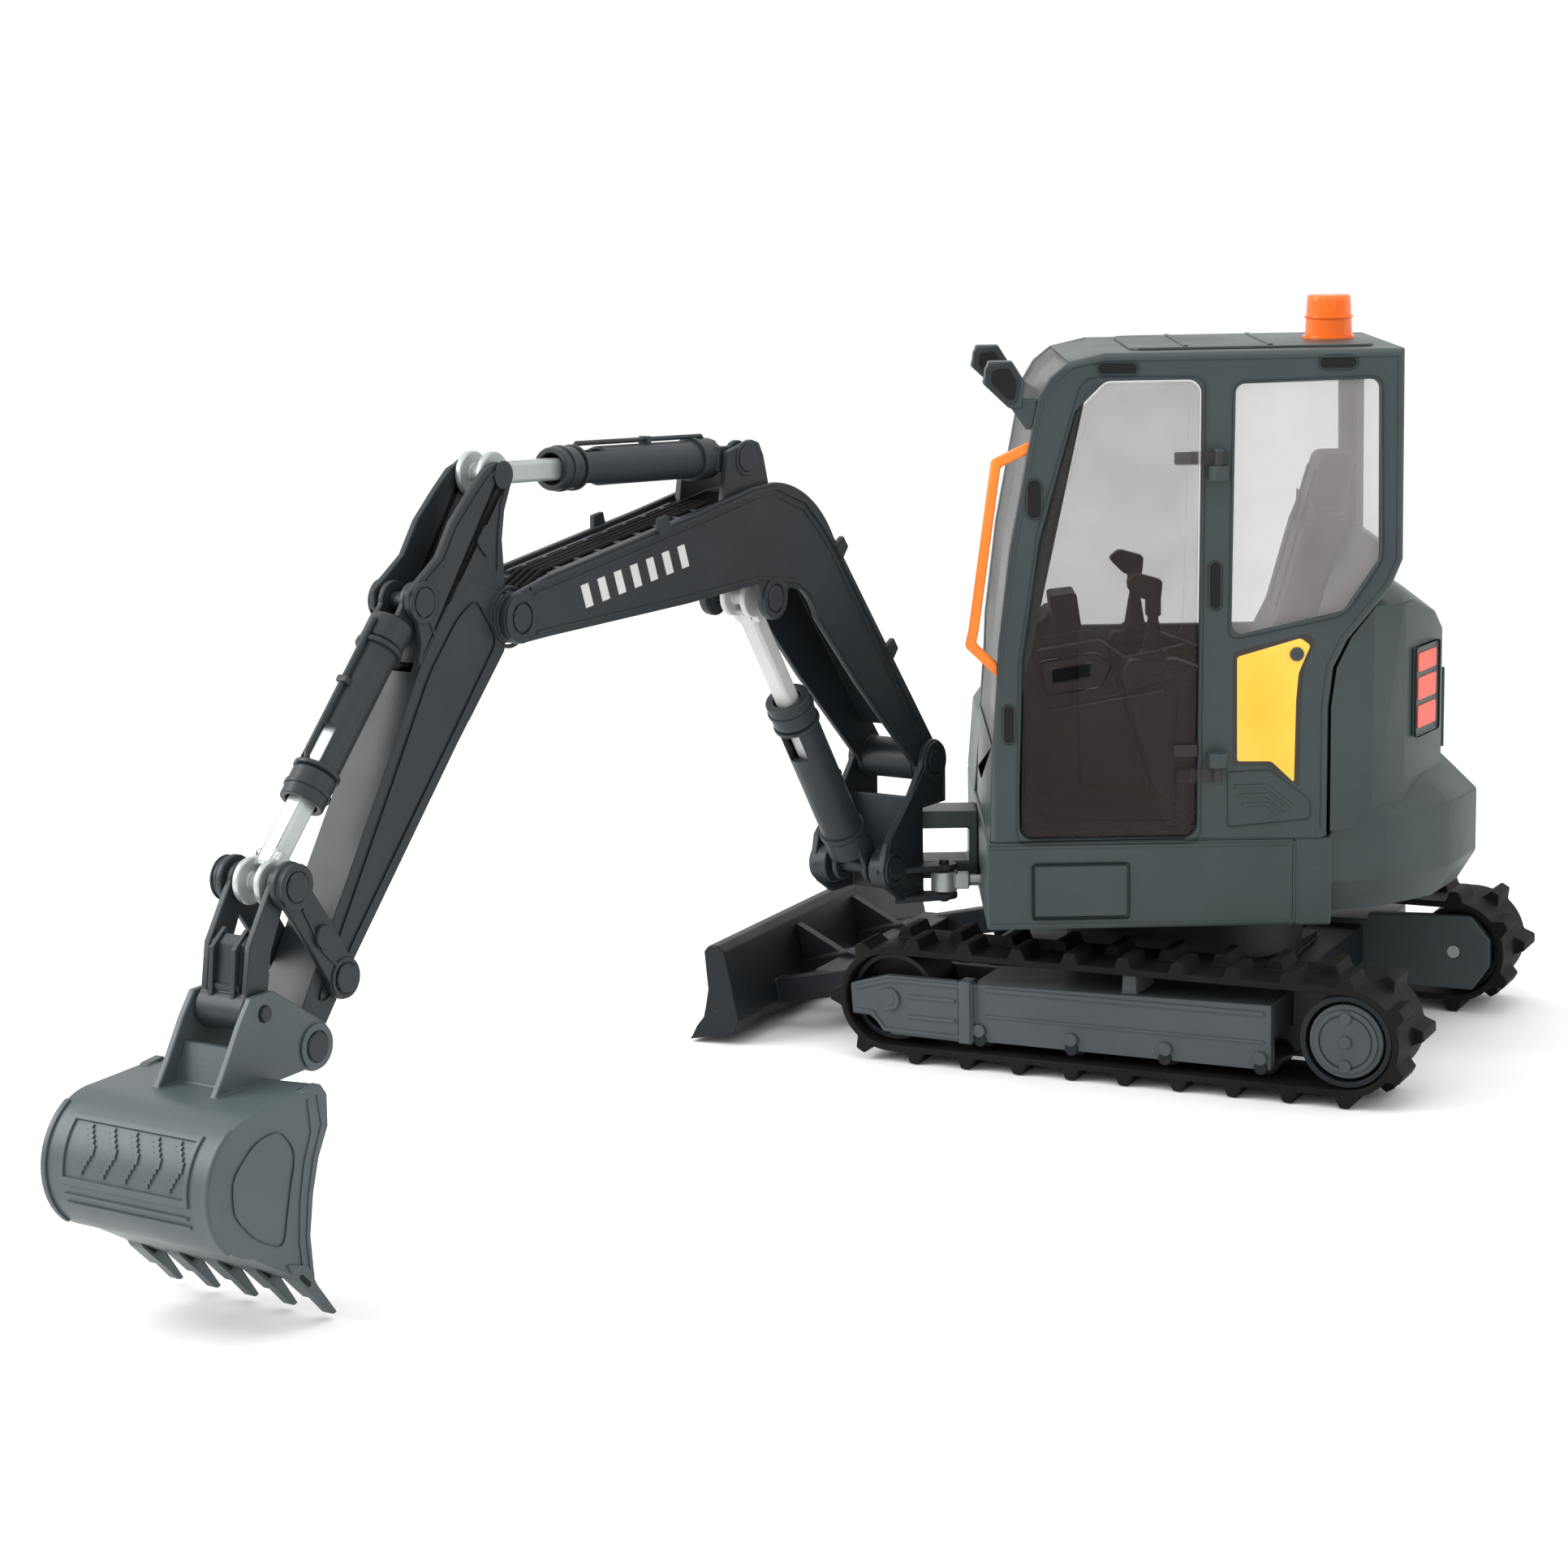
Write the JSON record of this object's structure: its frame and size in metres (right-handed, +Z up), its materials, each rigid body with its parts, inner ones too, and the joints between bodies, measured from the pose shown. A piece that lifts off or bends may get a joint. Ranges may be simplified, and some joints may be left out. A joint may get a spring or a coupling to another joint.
{
  "type": "toy excavator",
  "caption": "Toy compact excavator on rubber tracks: slewing cab, swinging boom, arm, curling bucket and dozer blade, posed with the boom out to the left.",
  "frame": {"origin": "middle of the bottom of the whole object's bounding box in its rest pose, on the floor", "axes": "+X from the tracks' rear to the dozer blade, +Y to the machine's left, +Z up"},
  "size_m": [0.184, 0.3344, 0.1677],
  "materials": {
    "slate_plastic": "satin moulded",
    "charcoal_plastic": "satin moulded",
    "belt_rubber": "matt, dusty",
    "smoked_door": "smoked clear plastic",
    "clear_window": "clear plastic",
    "orange_plastic": "satin moulded",
    "beacon_amber": "clear amber plastic",
    "silver_plastic": "speckled silver",
    "cab_inside": "matt moulded",
    "lamp_red": "satin"
  },
  "bodies": {
    "chassis": {"chassis_frame": "slate_plastic", "bottom_cover": "slate_plastic", "slew_ring": "slate_plastic", "slew_pin": "silver_plastic", "track_frame_left": "slate_plastic", "track_frame_right": "slate_plastic", "track_belt_left": "belt_rubber", "track_belt_right": "belt_rubber", "track_rollers_left": "charcoal_plastic", "track_rollers_right": "charcoal_plastic", "wheel_axles": "silver_plastic", "blade_pins": "silver_plastic"},
    "idler_left": {"idler_left": "charcoal_plastic"},
    "idler_right": {"idler_right": "charcoal_plastic"},
    "sprocket_left": {"sprocket_left": "charcoal_plastic", "hub_disc_left": "charcoal_plastic"},
    "sprocket_right": {"sprocket_right": "charcoal_plastic", "hub_disc_right": "charcoal_plastic"},
    "blade": {"dozer_blade": "slate_plastic"},
    "house": {"house_base": "slate_plastic", "counterweight": "slate_plastic", "engine_hood": "slate_plastic", "right_cover": "slate_plastic", "cab_shell": "slate_plastic", "windshield": "clear_window", "lower_window": "clear_window", "side_window_left": "clear_window", "side_window_right": "clear_window", "rear_window": "clear_window", "console": "cab_inside", "seat": "cab_inside", "control_levers": "cab_inside", "beacon": "beacon_amber", "mirror_left": "charcoal_plastic", "mirror_right": "charcoal_plastic", "handrail": "orange_plastic", "tail_lights": "lamp_red", "door_hinges": "slate_plastic", "swing_bracket": "slate_plastic", "swing_pin": "silver_plastic"},
    "door": {"door": "smoked_door"},
    "swing_post": {"swing_post": "charcoal_plastic", "swing_post_pins": "silver_plastic"},
    "swing_rod": {"swing_rod": "charcoal_plastic"},
    "boom": {"boom": "charcoal_plastic", "boom_pins": "silver_plastic"},
    "boom_barrel": {"boom_barrel": "charcoal_plastic"},
    "boom_rod": {"boom_rod": "silver_plastic"},
    "arm_barrel": {"arm_barrel": "charcoal_plastic"},
    "arm_rod": {"arm_rod": "silver_plastic"},
    "arm": {"arm": "charcoal_plastic", "arm_pins": "silver_plastic"},
    "bucket_barrel": {"bucket_barrel": "charcoal_plastic"},
    "bucket_rod": {"bucket_rod": "silver_plastic"},
    "rocker": {"rocker_links": "charcoal_plastic", "rocker_pins": "silver_plastic"},
    "coupler": {"bucket_coupler": "charcoal_plastic"},
    "bucket": {"bucket": "slate_plastic", "link_pin": "silver_plastic"}
  },
  "joints": [
    {"name": "sprocket_left_turn", "type": "hinge", "parent": "chassis", "child": "sprocket_left", "pos_m": [-0.07775, -0.06752, 0.01421], "axis": [0, 1, 0], "continuous": true},
    {"name": "idler_left_turn", "type": "hinge", "parent": "chassis", "child": "idler_left", "pos_m": [0.02675, -0.06752, 0.01421], "axis": [0, 1, 0], "continuous": true},
    {"name": "sprocket_right_turn", "type": "hinge", "parent": "chassis", "child": "sprocket_right", "pos_m": [-0.07775, -0.15652, 0.01421], "axis": [0, 1, 0], "continuous": true},
    {"name": "idler_right_turn", "type": "hinge", "parent": "chassis", "child": "idler_right", "pos_m": [0.02675, -0.15652, 0.01421], "axis": [0, 1, 0], "continuous": true},
    {"name": "blade_lift", "type": "hinge", "parent": "chassis", "child": "blade", "pos_m": [0.0163, -0.11202, 0.01551], "axis": [0, -1, 0], "range_deg": [0, 8]},
    {"name": "slew", "type": "hinge", "parent": "chassis", "child": "house", "pos_m": [-0.0237, -0.11202, 0.03401], "axis": [0, 0, 1], "continuous": true},
    {"name": "door_hinge", "type": "hinge", "parent": "house", "child": "door", "pos_m": [-0.04621, -0.06779, 0.10001], "axis": [0, 0, 1], "range_deg": [0, 100]},
    {"name": "swing", "type": "hinge", "parent": "house", "child": "swing_post", "pos_m": [0.03526, -0.08465, 0.04401], "axis": [0, 0, 1], "range_deg": [-100, 13]},
    {"name": "swing_rod_pivot", "type": "hinge", "parent": "swing_post", "child": "swing_rod", "pos_m": [0.02163, -0.07776, 0.03761], "axis": [0, 0, 1], "range_deg": [-13.5, 100.5]},
    {"name": "boom_lift", "type": "hinge", "parent": "swing_post", "child": "boom", "pos_m": [0.03541, -0.08366, 0.06401], "axis": [0.989, -0.1478, 0], "range_deg": [-25, 30]},
    {"name": "boom_barrel_pivot", "type": "hinge", "parent": "swing_post", "child": "boom_barrel", "pos_m": [0.03798, -0.06646, 0.04231], "axis": [0.989, -0.1478, 0], "range_deg": [-22.78, 27.24]},
    {"name": "boom_rod_slide", "type": "slide", "parent": "boom_barrel", "child": "boom_rod", "axis": [0.0807, 0.5399, 0.8379], "range_m": [-0.01147, 0.01369]},
    {"name": "arm_swing", "type": "hinge", "parent": "boom", "child": "arm", "pos_m": [0.05702, 0.06093, 0.11491], "axis": [0.989, -0.1478, 0], "range_deg": [-25, 30]},
    {"name": "arm_barrel_pivot", "type": "hinge", "parent": "boom", "child": "arm_barrel", "pos_m": [0.04539, -0.01691, 0.13831], "axis": [0.989, -0.1478, 0], "range_deg": [-0.71, 0.68]},
    {"name": "arm_rod_slide", "type": "slide", "parent": "arm_barrel", "child": "arm_rod", "axis": [0.1476, 0.9879, 0.0467], "range_m": [-0.0142, 0.0119]},
    {"name": "bucket_curl", "type": "hinge", "parent": "arm", "child": "bucket", "pos_m": [0.06625, 0.12274, 0.04541], "axis": [0.989, -0.1478, 0], "range_deg": [-35, 36]},
    {"name": "rocker_pivot", "type": "hinge", "parent": "arm", "child": "rocker", "pos_m": [0.06491, 0.11374, 0.05601], "axis": [0.989, -0.1478, 0], "range_deg": [-27.59, 28.36]},
    {"name": "coupler_pivot", "type": "hinge", "parent": "rocker", "child": "coupler", "pos_m": [0.06686, 0.1268, 0.07541], "axis": [0.989, -0.1478, 0], "range_deg": [-17.56, 17.09]},
    {"name": "bucket_barrel_pivot", "type": "hinge", "parent": "arm", "child": "bucket_barrel", "pos_m": [0.06068, 0.08546, 0.12071], "axis": [0.989, -0.1478, 0], "range_deg": [-3.34, 3.26]},
    {"name": "bucket_rod_slide", "type": "slide", "parent": "bucket_barrel", "child": "bucket_rod", "axis": [0.1002, 0.6707, -0.7349], "range_m": [-0.01095, 0.01066]}
  ],
  "couplings": [
    {"joint": "idler_left_turn", "follows": "sprocket_left_turn", "ratio": 1},
    {"joint": "idler_right_turn", "follows": "sprocket_right_turn", "ratio": 1},
    {"joint": "swing_rod_pivot", "follows": "swing", "ratio": -1},
    {"joint": "boom_barrel_pivot", "follows": "boom_lift", "ratio": 0.8912},
    {"joint": "boom_rod_slide", "follows": "boom_lift", "m_per_rad": 0.02538},
    {"joint": "arm_barrel_pivot", "follows": "arm_swing", "ratio": -0.00713},
    {"joint": "arm_rod_slide", "follows": "arm_swing", "m_per_rad": -0.02635},
    {"joint": "rocker_pivot", "follows": "bucket_curl", "ratio": 0.7739},
    {"joint": "coupler_pivot", "follows": "bucket_curl", "ratio": -0.4739},
    {"joint": "bucket_barrel_pivot", "follows": "bucket_curl", "ratio": -0.07898},
    {"joint": "bucket_rod_slide", "follows": "bucket_curl", "m_per_rad": -0.01679}
  ]
}
